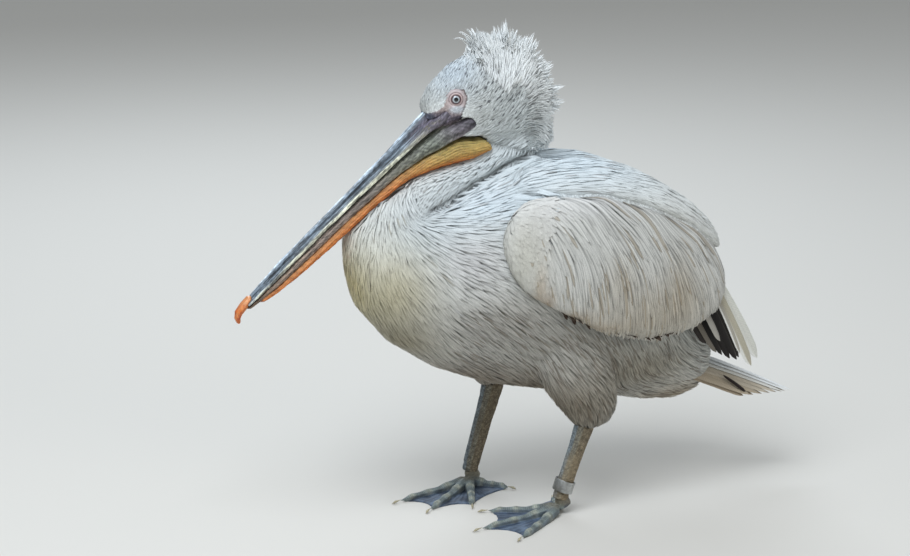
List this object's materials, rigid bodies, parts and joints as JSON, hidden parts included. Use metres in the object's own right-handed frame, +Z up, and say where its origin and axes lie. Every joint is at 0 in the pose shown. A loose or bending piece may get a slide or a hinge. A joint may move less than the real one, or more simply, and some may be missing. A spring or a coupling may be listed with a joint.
{
  "type": "pelican",
  "caption": "Life-size standing Dalmatian pelican, bill laid down along its folded neck, shaggy crest raised, wings folded, webbed feet flat, a plain metal band on its left leg.",
  "frame": {"origin": "on the floor, under the middle of the whole bird's box", "axes": "+X towards the tail, so the bird faces -X; +Y to the bird's right; +Z up"},
  "size_m": [0.838, 0.3258, 0.6946],
  "materials": {
    "plumage": "dry white to cream feathers, greyer on the belly",
    "flight_feathers": "dark brown flight feathers with pale edges",
    "eye": "wet, clear over a pale grey iris",
    "bill_horn": "satin grey horn, mottled, cream along its cutting edge",
    "jaw_horn": "satin brown-grey horn",
    "nail_horn": "satin orange horn",
    "pouch_skin": "bare orange skin, finely wrinkled",
    "leg_skin": "scaly brown-grey skin",
    "foot_skin": "dull slate-blue skin with paler toes",
    "claw_horn": "dull yellow-grey horn",
    "ring_metal": "plain brushed band, dulled"
  },
  "bodies": {
    "root": {"head": "plumage", "crest": "plumage", "neck_upper": "plumage", "neck_lower": "plumage", "trunk": "plumage", "wing_left_coverts": "plumage", "wing_left_scapulars": "plumage", "wing_left_tertials": "plumage", "wing_left_primaries": "flight_feathers", "wing_right_coverts": "plumage", "wing_right_scapulars": "plumage", "wing_right_tertials": "plumage", "wing_right_primaries": "flight_feathers", "thigh_left": "plumage", "thigh_right": "plumage", "tail": "plumage", "eye_left": "eye", "eye_right": "eye", "bill_upper": "bill_horn", "bill_lower": "jaw_horn", "bill_nail": "nail_horn", "pouch": "pouch_skin", "shank_left": "leg_skin", "shank_right": "leg_skin", "foot_left": "foot_skin", "foot_right": "foot_skin", "claw_left_1": "claw_horn", "claw_left_2": "claw_horn", "claw_left_3": "claw_horn", "claw_left_4": "claw_horn", "claw_right_1": "claw_horn", "claw_right_2": "claw_horn", "claw_right_3": "claw_horn", "claw_right_4": "claw_horn", "leg_ring": "ring_metal"}
  },
  "joints": []
}
